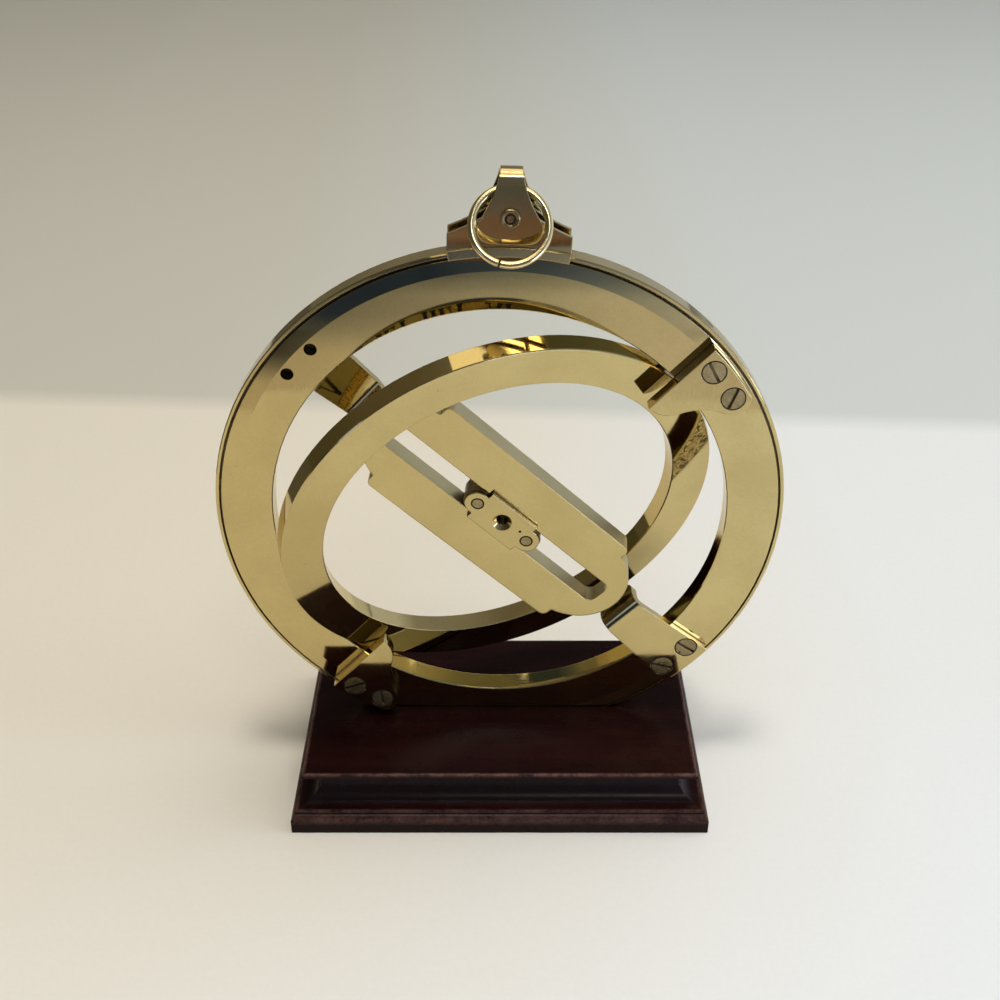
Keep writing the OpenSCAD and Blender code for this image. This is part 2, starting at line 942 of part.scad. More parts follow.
// Split wire ring that leans on the front leaf
module hanging_ring() {
    color(brass)
        saddle_frame()
            translate([0, hang_y, hang_front])
                rotate([-hang_lean, 0, 0])
                    translate([0, -hang_d / 2, 0])
                        difference() {
                            rotate_extrude()
                                translate([hang_d / 2, 0])
                                    circle(d = wire_d);
                            rotate([0, 0, -90 - split_angle])
                                translate([0, -split_gap / 2, -wire_d])
                                    cube([hang_d, split_gap, 2 * wire_d]);
                        }
}

base();
meridian_ring();
hour_ring();
hour_pivot_pin_upper();
hour_pivot_pin_lower();
stop_bracket_upper();
stop_bracket_lower();
stop_screws_upper();
stop_screws_lower();
bridge_bracket_front();
bridge_bracket_rear();
bridge_screws_front();
bridge_screws_rear();
bridge_pivot_pin_front();
bridge_pivot_pin_rear();
bridge();
cursor_front_plate();
cursor_block();
cursor_back_plate();
cursor_rivets();
saddle();
shackle();
shackle_pin();
hanging_ring();
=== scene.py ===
import json
import math

import bmesh
import bpy
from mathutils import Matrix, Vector


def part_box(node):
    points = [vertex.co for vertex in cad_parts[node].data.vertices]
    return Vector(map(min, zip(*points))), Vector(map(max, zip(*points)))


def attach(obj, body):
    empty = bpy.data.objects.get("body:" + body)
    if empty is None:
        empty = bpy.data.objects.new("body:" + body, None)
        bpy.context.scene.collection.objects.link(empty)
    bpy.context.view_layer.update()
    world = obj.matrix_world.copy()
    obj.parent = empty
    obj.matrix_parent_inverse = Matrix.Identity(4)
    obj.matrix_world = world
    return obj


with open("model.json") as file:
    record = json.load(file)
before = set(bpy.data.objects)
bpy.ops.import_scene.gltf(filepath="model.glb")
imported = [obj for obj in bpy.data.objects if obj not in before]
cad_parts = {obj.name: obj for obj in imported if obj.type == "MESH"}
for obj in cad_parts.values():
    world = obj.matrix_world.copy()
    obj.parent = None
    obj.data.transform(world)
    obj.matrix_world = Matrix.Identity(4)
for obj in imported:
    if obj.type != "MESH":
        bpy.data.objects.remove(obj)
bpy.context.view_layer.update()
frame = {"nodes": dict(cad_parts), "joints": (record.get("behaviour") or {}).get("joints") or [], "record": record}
NODES = frame["nodes"]
JOINTS = {joint["name"]: joint for joint in frame["joints"]}
SLOT_OF = {part["node"]: part["material_slot"] for part in frame["record"]["subparts"]}
scene = bpy.context.scene

# Sizes in millimetres, as in the solids. A piece's points become metres when its mesh is made.
MM = 0.001


def box_mm(node):
    """A solid's lowest and highest corner."""
    return [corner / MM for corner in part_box(node)]


# From the frame: the rings' centre, the hour ring's and the polar axis, and the faces that carry marks.
CENTRE = Vector(JOINTS["hour_fold"]["pos_m"]) / MM
U = Vector(JOINTS["hour_fold"]["axis"])
V = Vector(JOINTS["bridge_turn"]["axis"])
AXIS = math.atan2(U.z, U.x)
HOUR_OPEN = math.radians(-JOINTS["hour_fold"]["range_deg"][0])
MERIDIAN_BACK = box_mm("meridian_ring")[1].y
STOP_FRONT = -box_mm("stop_bracket_upper")[0].y
CRANK_FRONT = -box_mm("bridge_bracket_front")[0].y
BASE_LOW, BASE_HIGH = box_mm("base")

# As in the solids. Screws are placed along U and V, rivets across and along the bridge. PIN_FACE is the
# flat inside the shackle rivet's collar, and BASE_STEP is how far the plinth's foot stands out past its top.
HOUR_HALF_T = 1.8
HOUR_R = (32.25, 39.45)
STOP_SCREWS = ((45.8, -4.9), (44.7, -10.8))
CRANK_SCREWS = ((-3.075, 45.05), (3.075, 45.05))
HEAD_R = 1.95
BORE_R = 1.1
THREAD_PITCH = 0.4
BRIDGE_TURN = math.radians(-5.5)
BRIDGE_HALF_T = 1.8
SLOT_HALF_W = 2.6
CURSOR_AT = -0.8
CURSOR_FRONT = 2.61
RIVETS = ((0, -5.875), (0, 5.875))
RIVET_R = 1.0
SADDLE_TURN = math.radians(-1.7)
LUG_R = 55.5
PIN_FACE = 3.235
BASE_STEP = 2.5

# Directions out of the faces, and across them.
FRONT = Vector((0, -1, 0))
UP = Vector((0, 0, 1))
HOUR_W = V * math.cos(HOUR_OPEN) + FRONT * math.sin(HOUR_OPEN)
HOUR_FRONT = FRONT * math.cos(HOUR_OPEN) - V * math.sin(HOUR_OPEN)
BRIDGE_U = U * math.cos(BRIDGE_TURN) - FRONT * math.sin(BRIDGE_TURN)
BRIDGE_FRONT = FRONT * math.cos(BRIDGE_TURN) + U * math.sin(BRIDGE_TURN)
SADDLE_RIGHT = Vector((math.cos(SADDLE_TURN), 0, math.sin(SADDLE_TURN)))
SADDLE_UP = Vector((-math.sin(SADDLE_TURN), 0, math.cos(SADDLE_TURN)))

# Colour sockets of a Mix node, whose names its number and vector sockets share, and rays for each lookup.
MIX_A = 6
MIX_B = 7
MIX_OUT = 2
SHELTER_RAYS = 6
BEVEL_RAYS = 4


class Graph:
    """A node tree with short calls for the few node types used here."""

    def __init__(self, tree):
        self.tree = tree

    def link(self, value, socket):
        """Feeds a socket from another node, or sets it to a plain value."""
        if hasattr(value, "is_linked"):
            self.tree.links.new(value, socket)
        else:
            socket.default_value = value

    def node(self, kind, values=None, **props):
        n = self.tree.nodes.new("ShaderNode" + kind)
        for key, value in props.items():
            setattr(n, key, value)
        for key, value in (values or {}).items():
            self.link(value, n.inputs[key])
        return n

    def here(self):
        """The point's place in the frame, in metres."""
        return self.node("TexCoord").outputs["Object"]

    def axes(self, vector):
        return tuple(self.node("SeparateXYZ", {0: vector}).outputs)

    def dot(self, a, b):
        return self.node("VectorMath", {0: a, 1: b}, operation="DOT_PRODUCT").outputs["Value"]

    def math(self, op, a, b=0.0):
        return self.node("Math", {0: a, 1: b}, operation=op).outputs[0]

    def plus(self, a, b):
        return self.math("ADD", a, b)

    def minus(self, a, b):
        return self.math("SUBTRACT", a, b)

    def times(self, a, b):
        return self.math("MULTIPLY", a, b)

    def most(self, a, b):
        return self.math("MAXIMUM", a, b)

    def size(self, a):
        return self.math("ABSOLUTE", a)

    def distance(self, a, b):
        """The length of the sum of two steps at right angles."""
        return self.math("SQRT", self.plus(self.math("POWER", a, 2.0), self.math("POWER", b, 2.0)))

    def span(self, value, low, high, to_low=0.0, to_high=1.0):
        """A fade from to_low to to_high while the value goes from low to high."""
        return self.node("MapRange", {0: value, 1: low, 2: high, 3: to_low, 4: to_high}).outputs[0]

    def span_mm(self, value, low, high):
        return self.span(value, low * MM, high * MM)

    def mix(self, factor, a, b, blend="MIX"):
        n = self.node("Mix", {"Factor": factor}, data_type="RGBA", blend_type=blend)
        for index, value in ((MIX_A, a), (MIX_B, b)):
            self.link(value if hasattr(value, "is_linked") else (*value, 1), n.inputs[index])
        return n.outputs[MIX_OUT]

    def noise(self, vector, scale=1.0, detail=3.0, rough=0.5, warp=0.0):
        n = self.node("TexNoise", {"Vector": vector, "Scale": scale, "Detail": detail,
                                   "Roughness": rough, "Distortion": warp})
        return n.outputs[0]

    def stretch(self, vector, scale, turn=(0, 0, 0)):
        return self.node("Mapping", {"Vector": vector, "Scale": scale, "Rotation": turn}).outputs[0]

    def shelter(self, reach):
        """One in the open and less in gaps and corners within reach."""
        return self.node("AmbientOcclusion", {"Distance": reach * MM}, samples=SHELTER_RAYS).outputs["AO"]

    def ramp(self, value, stops):
        n = self.node("ValToRGB", {0: value})
        e = n.color_ramp.elements
        while len(e) < len(stops):
            e.new(0.5)
        for item, (place, colour) in zip(e, stops):
            item.position = place
            item.color = (*colour, 1)
        return n.outputs[0]


def new_material(name):
    mat = bpy.data.materials.new(name)
    mat.use_nodes = True
    mat.node_tree.nodes.clear()
    g = Graph(mat.node_tree)
    bsdf = g.node("BsdfPrincipled")
    g.node("OutputMaterial", {0: bsdf.outputs[0]})
    return mat, g, bsdf


# Textures of the brass. Scales are waves to the metre, spans give noise values and what they turn into.
CLOUD = {"scale": 70.0, "detail": 5.0, "rough": 0.55}
GRAIN = {"scale": 2600.0, "detail": 2.0}
GRAIN_SHARE = 0.35
TONES = (0.34, 0.66)
SPECK_CELLS = 420.0
SPECK_RARE = 0.93
SPECK_EDGE = (0.08, 0.02)
SPECK_SHARE = 0.55
SPECK = (0.16, 0.1, 0.05)
SMEAR = {"scale": 190.0, "detail": 4.0, "rough": 0.6, "warp": 0.4}
SMEAR_SPAN = (0.32, 0.72)
HAIRLINE_WAYS = (((4200, 4200, 160), (0.3, 0.7, 0.2)), ((3600, 140, 3600), (0.2, 0.4, 1.1)))
HAIRLINES = {"detail": 2.0}
HAIRLINE_SPAN = (0.62, 0.72)
HAIRLINE_ROUGH = 0.03
HAIRLINE_DEPTH = 0.05
RIPPLE = {"scale": 150.0, "detail": 2.0}
RIPPLE_HEIGHT = 0.5
RELIEF = 0.03
RELIEF_REACH = 0.2
# Grime and painted shade in gaps and corners: the shelter's reach and span, and the roughness and colour added
# there.
GRIME_SHADE_REACH = 0.6
GRIME_SHADE_SPAN = (0.35, 0.8)
GRIME_SHADE_ROUGH = 0.3
GRIME_AND_SHADE = (0.055, 0.036, 0.018)


def cloudy_colour(g, at, low, high):
    """Tone in soft clouds with a fine grain and a few dark specks."""
    grain = g.times(g.minus(g.noise(at, **GRAIN), 0.5), GRAIN_SHARE)
    colour = g.ramp(g.plus(g.noise(at, **CLOUD), grain), [(TONES[0], low), (TONES[1], high)])
    cells = g.node("TexVoronoi", {"Vector": at, "Scale": SPECK_CELLS})
    chance = g.node("SeparateColor", {0: cells.outputs["Color"]}).outputs[0]
    rare = g.math("GREATER_THAN", chance, SPECK_RARE)
    speck = g.times(rare, g.span(cells.outputs["Distance"], *SPECK_EDGE))
    return g.mix(g.times(speck, SPECK_SHARE), colour, SPECK)


def hairlines(g, at):
    """Fine scratches in two directions."""
    sets = [g.noise(g.stretch(at, *way), **HAIRLINES) for way in HAIRLINE_WAYS]
    return g.plus(*(g.span(lines, *HAIRLINE_SPAN) for lines in sets))


# The bridge's sanded sides.
SIDE_SPAN = (0.55, 0.3)
SAND = {"scale": 3000.0, "detail": 3.0, "rough": 0.7}
SAND_ROUGH = (0.3, 0.7, 0.2, 0.42)
SAND_SHARE = (0.35, 0.75, 0.2, 0.75)
SATIN = (0.52, 0.48, 0.32)


def satin_sides(g, at, front, colour, roughness):
    """A sanded finish on the faces that don't look along front."""
    normal = g.node("TexCoord").outputs["Normal"]
    side = g.span(g.size(g.dot(normal, front)), *SIDE_SPAN)
    sand = g.noise(at, **SAND)
    roughness = g.plus(roughness, g.times(side, g.span(sand, *SAND_ROUGH)))
    colour = g.mix(g.times(side, g.span(sand, *SAND_SHARE)), colour, SATIN)
    return colour, roughness


# The groove beside the rim's rail: radii and depth over which its dirt and painted shade fade in and out.
GROOVE_INNER = (48.85, 49.0)
GROOVE_OUTER = (49.45, 49.35)
GROOVE_DEPTH = (1.9, 1.6)
GROOVE_SHARE = 0.3
GROOVE_ROUGH = 0.35
GROOVE_DIRT_AND_SHADE = (0.09, 0.055, 0.025)
# The tapped bores' threads, drawn as stripes of painted shade.
THREAD_SPAN = (-0.2, 0.8, 0.92, 0.45)
BORE_PAINTED_SHADE = (0.03, 0.02, 0.012)


def bore_mask(g, at):
    """One inside the tapped bores of the ring, which repeat about the dial's two axes."""
    from_centre = g.node("VectorMath", {0: at, 1: tuple(CENTRE * MM)}, operation="SUBTRACT").outputs[0]
    u = g.size(g.dot(from_centre, tuple(U)))
    v = g.dot(from_centre, tuple(V))
    mask = None
    for (bore_u, bore_v), across in ((CRANK_SCREWS[1], g.size(v)), (STOP_SCREWS[0], v), (STOP_SCREWS[1], v)):
        gap = g.distance(g.minus(u, bore_u * MM), g.minus(across, bore_v * MM))
        one = g.math("LESS_THAN", gap, BORE_R * MM)
        mask = one if mask is None else g.most(mask, one)
    return mask


def groove_and_bores(g, at, colour, roughness):
    """Dirt and painted shade in the groove beside the rim's rail, and threads drawn as stripes of painted shade in
    the tapped bores.
    """
    x, y, z = g.axes(at)
    r = g.distance(x, g.minus(z, CENTRE.z * MM))
    # Dirt and painted shade darken the groove beside the rail.
    inside = g.times(g.span_mm(r, *GROOVE_INNER), g.span_mm(r, *GROOVE_OUTER))
    groove_dirt_and_shade = g.times(inside, g.span_mm(g.size(y), *GROOVE_DEPTH))
    colour = g.mix(g.times(groove_dirt_and_shade, GROOVE_SHARE), colour, GROOVE_DIRT_AND_SHADE)
    roughness = g.plus(roughness, g.times(groove_dirt_and_shade, GROOVE_ROUGH))
    # Painted shade: dark stripes for the threads inside the tapped bores.
    thread = g.math("SINE", g.times(y, 2 * math.pi / (THREAD_PITCH * MM)))
    dark = g.times(bore_mask(g, at), g.span(thread, *THREAD_SPAN))
    return g.mix(dark, colour, BORE_PAINTED_SHADE), roughness


# Tarnish and painted shade in sheltered places.
TARNISH_SHADE_SPAN = (0.82, 0.5, 0.0, 0.8)
TARNISH_SHADE_ROUGH = 0.12
TARNISH_AND_SHADE = (0.17, 0.115, 0.05)


def brass(name, low, high, rough, bevel, scratch, bored=False, satin=None, tarnish_shade_reach=None):
    """Polished brass: cloudy tone, hairline scratches, grime and painted shade in corners, and softened edges."""
    mat, g, bsdf = new_material(name)
    at = g.here()
    colour = cloudy_colour(g, at, low, high)
    lines = hairlines(g, at)
    roughness = g.span(g.noise(at, **SMEAR), *SMEAR_SPAN, *rough)
    roughness = g.plus(roughness, g.times(lines, HAIRLINE_ROUGH * scratch))
    if satin:
        colour, roughness = satin_sides(g, at, satin, colour, roughness)
    if bored:
        colour, roughness = groove_and_bores(g, at, colour, roughness)
    # Tarnish and painted shade: darker, duller brass on sheltered walls.
    if tarnish_shade_reach:
        dull_and_shaded = g.span(g.shelter(tarnish_shade_reach), *TARNISH_SHADE_SPAN)
        colour = g.mix(dull_and_shaded, colour, TARNISH_AND_SHADE)
        roughness = g.plus(roughness, g.times(dull_and_shaded, TARNISH_SHADE_ROUGH))
    # Grime and painted shade: darker and rougher brass in gaps and corners.
    unshaded_and_clean = g.span(g.shelter(GRIME_SHADE_REACH), *GRIME_SHADE_SPAN)
    g.link(g.mix(unshaded_and_clean, GRIME_AND_SHADE, colour), bsdf.inputs["Base Color"])
    g.link(g.plus(roughness, g.span(unshaded_and_clean, 0.0, 1.0, GRIME_SHADE_ROUGH, 0.0)), bsdf.inputs["Roughness"])
    g.link(1.0, bsdf.inputs["Metallic"])
    ripple = g.times(g.noise(at, **RIPPLE), RIPPLE_HEIGHT)
    height = g.minus(ripple, g.times(lines, HAIRLINE_DEPTH * scratch))
    soft = g.node("Bevel", {"Radius": bevel * MM}, samples=BEVEL_RAYS)
    bump = g.node("Bump", {"Height": height, "Strength": RELIEF, "Distance": RELIEF_REACH * MM,
                           "Normal": soft.outputs[0]})
    g.link(bump.outputs[0], bsdf.inputs["Normal"])
    return mat


# The plinth's wood. Rubbed edges: place outside the top's edge, height, reach and strength.
WAVE_STRETCH = (14, 120, 120)
WAVE = {"detail": 4.0, "rough": 0.6, "warp": 0.6}
WAVE_COLOURS = [(0.3, (0.006, 0.0014, 0.0014)), (0.55, (0.0125, 0.0026, 0.0025)),
                (0.75, (0.02, 0.0045, 0.004))]
PORE_STRETCH = (160, 3200, 3200)
PORES = {"detail": 3.0, "rough": 0.6}
PORE_SPAN = (0.52, 0.68, 0.0, 0.65)
PORE_DARK = (0.0035, 0.0014, 0.0013)
# The cove's band, and the painted sheen that greys it.
COVE_FOOT = (4.9, 5.6)
COVE_HEAD = (11.5, 11.2)
COVE_SHEEN_SHARE = 0.8
COVE_PAINTED_SHEEN = (0.02, 0.012, 0.0135)
RUBBED_EDGES = ((-0.15, 12.4, 0.55, 0.95), (2.4, 3.2, 1.3, 0.62), (1.55, 4.7, 0.6, 0.6))
RUBBED_CORE = 0.15
CHIPS = {"scale": 1500.0, "detail": 4.0, "rough": 0.75}
CHIP_SHARE = 0.6
PATCHES = {"scale": 260.0, "detail": 3.0, "rough": 0.6}
PATCH_SHARE = 0.55
FLECK_SPAN = (0.46, 0.68, 0.12, 1.0)
BARE_WOOD = (0.14, 0.068, 0.05)
LACQUER = {"scale": 120.0, "detail": 4.0, "rough": 0.6}
LACQUER_ROUGH = (0.3, 0.7, 0.2, 0.34)
BARE_ROUGH = 0.25
LACQUER_SHINE = 0.1
PORE_HEIGHT = -0.5
BARE_HEIGHT = 0.3
WOOD_RELIEF = 0.12
WOOD_RELIEF_REACH = 0.1


def rubbed(g, at):
    """How far the lacquer is rubbed through, in flecks along the mouldings' edges."""
    x, y, z = g.axes(at)
    middle_y = (BASE_LOW.y + BASE_HIGH.y) / 2
    half_x = (BASE_HIGH.x - BASE_LOW.x) / 2 - BASE_STEP
    half_y = (BASE_HIGH.y - BASE_LOW.y) / 2 - BASE_STEP
    outside_x = g.minus(g.size(x), half_x * MM)
    outside_y = g.minus(g.size(g.minus(y, middle_y * MM)), half_y * MM)
    outside = g.most(outside_x, outside_y)
    worn = None
    for place, height, reach, strength in RUBBED_EDGES:
        gap = g.distance(g.minus(outside, place * MM), g.minus(z, height * MM))
        near = g.times(g.span_mm(gap, reach, RUBBED_CORE * reach), strength)
        worn = near if worn is None else g.most(worn, near)
    chips = g.times(g.noise(at, **CHIPS), CHIP_SHARE)
    fleck = g.plus(chips, g.times(g.noise(at, **PATCHES), PATCH_SHARE))
    return g.times(worn, g.span(fleck, *FLECK_SPAN))


def stained_wood():
    """Dark mahogany under lacquer: grain along the plinth, a painted greyish sheen in the cove, rubbed edges."""
    mat, g, bsdf = new_material("mahogany")
    at = g.here()
    z = g.axes(at)[2]
    colour = g.ramp(g.noise(g.stretch(at, WAVE_STRETCH), **WAVE), WAVE_COLOURS)
    pores = g.noise(g.stretch(at, PORE_STRETCH), **PORES)
    colour = g.mix(g.span(pores, *PORE_SPAN), colour, PORE_DARK)
    # Painted sheen: the cove is greyed as if it mirrored the pale floor.
    cove = g.times(g.span_mm(z, *COVE_FOOT), g.span_mm(z, *COVE_HEAD))
    colour = g.mix(g.times(cove, COVE_SHEEN_SHARE), colour, COVE_PAINTED_SHEEN)
    worn = rubbed(g, at)
    g.link(g.mix(worn, colour, BARE_WOOD), bsdf.inputs["Base Color"])
    rough = g.plus(g.span(g.noise(at, **LACQUER), *LACQUER_ROUGH), g.times(worn, BARE_ROUGH))
    g.link(rough, bsdf.inputs["Roughness"])
    g.link(LACQUER_SHINE, bsdf.inputs["Specular IOR Level"])
    relief = g.plus(g.times(pores, PORE_HEIGHT), g.times(worn, BARE_HEIGHT))
    bump = g.node("Bump", {"Height": relief, "Strength": WOOD_RELIEF, "Distance": WOOD_RELIEF_REACH * MM})
    g.link(bump.outputs[0], bsdf.inputs["Normal"])
    return mat


# The wax in the engraving, whose black also makes the painted shade rings round heads.
RUB = {"scale": 900.0, "detail": 4.0, "rough": 0.65}
RUB_COLOURS = [(0.35, (0.012, 0.010, 0.008)), (0.6, (0.022, 0.018, 0.013)), (0.8, (0.07, 0.05, 0.025))]
RUB_ROUGH = (0.3, 0.8, 0.6, 0.85)
WAX_SHINE = 0.15


def fill_black():
    """Black wax in the engraving, thin and brownish where it has rubbed away. It also colours the painted shade
    rings round heads.
    """
    mat, g, bsdf = new_material("engraving_wax_and_shade")
    rub = g.noise(g.here(), **RUB)
    g.link(g.ramp(rub, RUB_COLOURS), bsdf.inputs["Base Color"])
    g.link(g.span(rub, *RUB_ROUGH), bsdf.inputs["Roughness"])
    g.link(WAX_SHINE, bsdf.inputs["Specular IOR Level"])
    return mat


RING = brass("brass_ring", low=(0.54, 0.425, 0.185), high=(0.62, 0.495, 0.225), rough=(0.03, 0.075),
             bevel=0.12, scratch=1.0, bored=True)
PLATE = brass("brass_plate", low=(0.51, 0.4, 0.175), high=(0.59, 0.47, 0.21), rough=(0.04, 0.1),
              bevel=0.25, scratch=1.2, tarnish_shade_reach=2.5)
BRIDGE = brass("brass_bridge", low=(0.54, 0.43, 0.185), high=(0.61, 0.49, 0.22), rough=(0.06, 0.12),
               bevel=0.3, scratch=1.4, satin=tuple(BRIDGE_FRONT))
HANG = brass("brass_hanging_gear", low=(0.6, 0.48, 0.23), high=(0.68, 0.56, 0.29), rough=(0.05, 0.12),
             bevel=0.28, scratch=1.0)
# The wire's brass is painted brighter than the other brass, as a painted highlight over its whole length.
WIRE_PAINTED_BRIGHT = brass("brass_wire_painted_bright", low=(0.87, 0.72, 0.39), high=(0.97, 0.83, 0.49), rough=(0.1, 0.18),
             bevel=0.05, scratch=1.0)
FITTING = brass("brass_screw", low=(0.2, 0.15, 0.07), high=(0.43, 0.34, 0.17), rough=(0.2, 0.42),
                bevel=0.1, scratch=4.0)
WOOD = stained_wood()
WAX_AND_SHADE = fill_black()

BY_NODE = {"meridian_ring": RING, "hour_ring": RING, "bridge": BRIDGE, "saddle": HANG, "shackle": HANG,
           "hanging_ring": WIRE_PAINTED_BRIGHT, "shackle_pin": FITTING}
BY_SLOT = {"mahogany": WOOD, "polished_brass": PLATE, "fitting_brass": FITTING}
for name, obj in NODES.items():
    obj.data.materials.clear()
    obj.data.materials.append(BY_NODE.get(name) or BY_SLOT[SLOT_OF[name]])

# Engraving: flat strokes, each a thin plate let into the metal and a hair proud of it. The painted shade rings
# round heads are made the same way.
STROKE_PROUD = 0.012
STROKE_SUNK = 0.03
LINE_W = 0.1
FINE_W = 0.08
TICK_W = 0.09
FULL_TURN = 2 * math.pi
CIRCLE_STEP = math.radians(2)
SHADE_RING_STEP = math.radians(10)


def stroke_piece(name, quads, origin, right, up, body):
    """One mesh of all the strokes: flat outlines in the plane of right and up, about origin."""
    out = right.cross(up)
    verts, faces = [], []
    for quad in quads:
        n = len(quad)
        start = len(verts)
        for lift in (STROKE_PROUD, -STROKE_SUNK):
            verts += [(origin + right * x + up * y + out * lift) * MM for x, y in quad]
        faces.append([start + i for i in range(n)])
        faces.append([start + n + i for i in reversed(range(n))])
        faces += [[start + i, start + n + i, start + n + (i + 1) % n, start + (i + 1) % n] for i in range(n)]
    mesh = bpy.data.meshes.new(name)
    mesh.from_pydata(verts, [], faces)
    mesh.materials.append(WAX_AND_SHADE)
    obj = bpy.data.objects.new(name, mesh)
    scene.collection.objects.link(obj)
    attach(obj, body)


def bar(a, b, width):
    """A straight stroke from a to b."""
    a, b = Vector(a), Vector(b)
    side = (b - a).orthogonal().normalized() * width / 2
    return [tuple(a - side), tuple(b - side), tuple(b + side), tuple(a + side)]


def arc_point(r, turn):
    return r * math.cos(turn), r * math.sin(turn)


def tick(r0, r1, turn, width):
    """A stroke along a radius."""
    return bar(arc_point(r0, turn), arc_point(r1, turn), width)


def circle(r, width, first=0.0, last=FULL_TURN, step=CIRCLE_STEP):
    """A round line, or a stretch of one, in short pieces."""
    count = max(1, round((last - first) / step))
    turns = [first + (last - first) * i / count for i in range(count + 1)]
    inner, outer = r - width / 2, r + width / 2
    return [[arc_point(inner, a), arc_point(outer, a), arc_point(outer, b), arc_point(inner, b)]
            for a, b in zip(turns, turns[1:])]


def shifted(quads, place):
    return [[(x + place[0], y + place[1]) for x, y in quad] for quad in quads]


def set_round(quads, r, turn, height):
    """Strokes one unit high, made height high and set with their foot at radius r, standing outwards."""
    c, s = math.cos(turn - math.pi / 2), math.sin(turn - math.pi / 2)
    stood = [[(height * (x * c - y * s), height * (x * s + y * c)) for x, y in quad] for quad in quads]
    return shifted(stood, arc_point(r, turn))


# Roman letters one unit high: width, thick and thin strokes, middles of the serifs and half their length.
THICK = 0.18
THIN = 0.07
SERIF_W = 0.06
FOOT = 0.03
HEAD = 0.97
LETTERS = {
    "I": (0.36, [((0.18, 0), (0.18, 1), THICK)], [(0.18, FOOT), (0.18, HEAD)], 0.15),
    "V": (0.78, [((0.16, 1), (0.39, 0), THICK), ((0.64, 1), (0.39, 0), THIN)],
          [(0.16, HEAD), (0.64, HEAD)], 0.14),
    "X": (0.78, [((0.14, 1), (0.64, 0), THICK), ((0.64, 1), (0.14, 0), THIN)],
          [(0.14, FOOT), (0.14, HEAD), (0.64, FOOT), (0.64, HEAD)], 0.13),
}


def roman(text):
    """Strokes of a Roman numeral one unit high, centred on its foot."""
    x = -sum(LETTERS[letter][0] for letter in text) / 2
    quads = []
    for letter in text:
        wide, strokes, serifs, half = LETTERS[letter]
        drawn = [bar(a, b, width) for a, b, width in strokes]
        drawn += [bar((mid - half, y), (mid + half, y), SERIF_W) for mid, y in serifs]
        quads += shifted(drawn, (x, 0))
        x += wide
    return quads


# The hour scale on the hour ring's back: two rounds of twelve, with ticks every five minutes.
NUMERALS = ("XII", "I", "II", "III", "IV", "V", "VI", "VII", "VIII", "IX", "X", "XI")
HOURS = 24
TICKS_PER_HOUR = 12
TICK_LONG = {0: 1.7, 6: 1.4, 3: 1.1, 9: 1.1}
TICK_SHORT = 0.75
TICK_R = HOUR_R[0] + 2.1
NUMERAL_R = HOUR_R[0] + 2.4
NUMERAL_H = 4.3
HOUR_LINES = ((HOUR_R[0] + 0.4, FINE_W), (TICK_R, LINE_W), (HOUR_R[1] - 0.25, LINE_W))
hours = [quad for r, width in HOUR_LINES for quad in circle(r, width)]
for hour in range(HOURS):
    turn = FULL_TURN * hour / HOURS
    hours += set_round(roman(NUMERALS[hour % len(NUMERALS)]), NUMERAL_R, turn, NUMERAL_H)
    for part in range(TICKS_PER_HOUR):
        part_turn = turn + FULL_TURN * part / HOURS / TICKS_PER_HOUR
        hours.append(tick(TICK_R - TICK_LONG.get(part, TICK_SHORT), TICK_R, part_turn, TICK_W))
stroke_piece("hour_scale", hours, CENTRE - HOUR_FRONT * HOUR_HALF_T, -U, HOUR_W, "hour")


DIGIT_STEPS = 3


def digits(text):
    """Outlines of a number in the plain built-in face, one unit high and centred on their foot."""
    curve = bpy.data.curves.new("digits", "FONT")
    curve.body = text
    curve.size = 1.0
    curve.resolution_u = DIGIT_STEPS
    obj = bpy.data.objects.new("digits", curve)
    mesh = obj.to_mesh()
    points = [(v.co.x, v.co.y) for v in mesh.vertices]
    middle = (min(x for x, y in points) + max(x for x, y in points)) / 2
    top = max(y for x, y in points)
    flat = [((x - middle) / top, y / top) for x, y in points]
    quads = [[flat[i] for i in face.vertices] for face in mesh.polygons]
    obj.to_mesh_clear()
    bpy.data.objects.remove(obj)
    bpy.data.curves.remove(curve)
    return quads


# The latitude scale on the ring's back runs up from the hour axis and ends clear of the rear bracket.
SCALE_R = 41.1
SCALE_END = 80
DEGREE_TICK = 1.15
FIVE_TICK = 1.5
TEN_TICK = 1.9
DIGIT_R = SCALE_R + 2.3
DIGIT_H = 1.7
BACK_RIGHT = Vector((-1, 0, 0))
BACK_CENTRE = CENTRE - FRONT * MERIDIAN_BACK
scale_start = math.pi - AXIS
scale_turns = (scale_start - math.radians(SCALE_END), scale_start)
latitude = circle(SCALE_R, LINE_W, *scale_turns) + circle(SCALE_R + DEGREE_TICK, FINE_W, *scale_turns)
for degree in range(SCALE_END + 1):
    turn = scale_start - math.radians(degree)
    long = TEN_TICK if degree % 10 == 0 else FIVE_TICK if degree % 5 == 0 else DEGREE_TICK
    latitude.append(tick(SCALE_R, SCALE_R + long, turn, TICK_W))
    if degree % 10 == 0:
        latitude += set_round(digits(str(degree)), DIGIT_R, turn, DIGIT_H)
stroke_piece("latitude_scale", latitude, BACK_CENTRE, BACK_RIGHT, UP, "dial")

